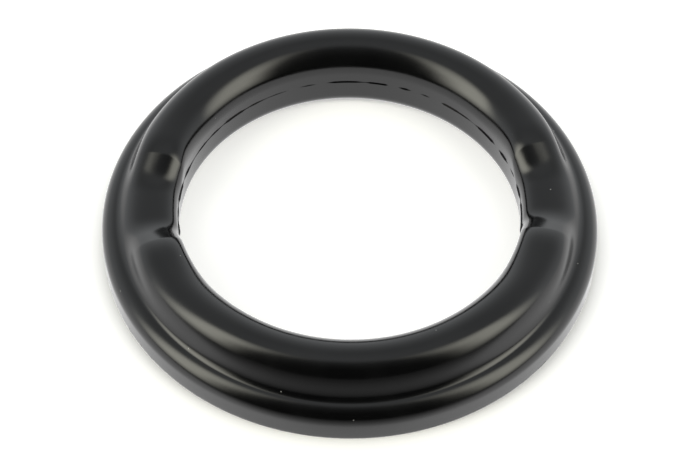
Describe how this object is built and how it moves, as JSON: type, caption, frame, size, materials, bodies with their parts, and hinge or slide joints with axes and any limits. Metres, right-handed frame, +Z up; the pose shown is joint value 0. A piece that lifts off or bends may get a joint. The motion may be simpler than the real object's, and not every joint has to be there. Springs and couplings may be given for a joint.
{
  "type": "shock bump stop",
  "caption": "Moulded rubber bump stop ring with an outer flange and a tall rounded crown that dips into a low saddle on each side of the bore.",
  "frame": {"origin": "centre of the flat underside, on the bore's axis", "axes": "+Z up along the bore axis, away from the flat underside; the two saddles lie on +X and -X"},
  "size_m": [0.12, 0.12, 0.0178],
  "materials": {
    "ring_rubber": "satin moulded black rubber"
  },
  "bodies": {
    "root": {"bump_ring": "ring_rubber"}
  },
  "joints": []
}
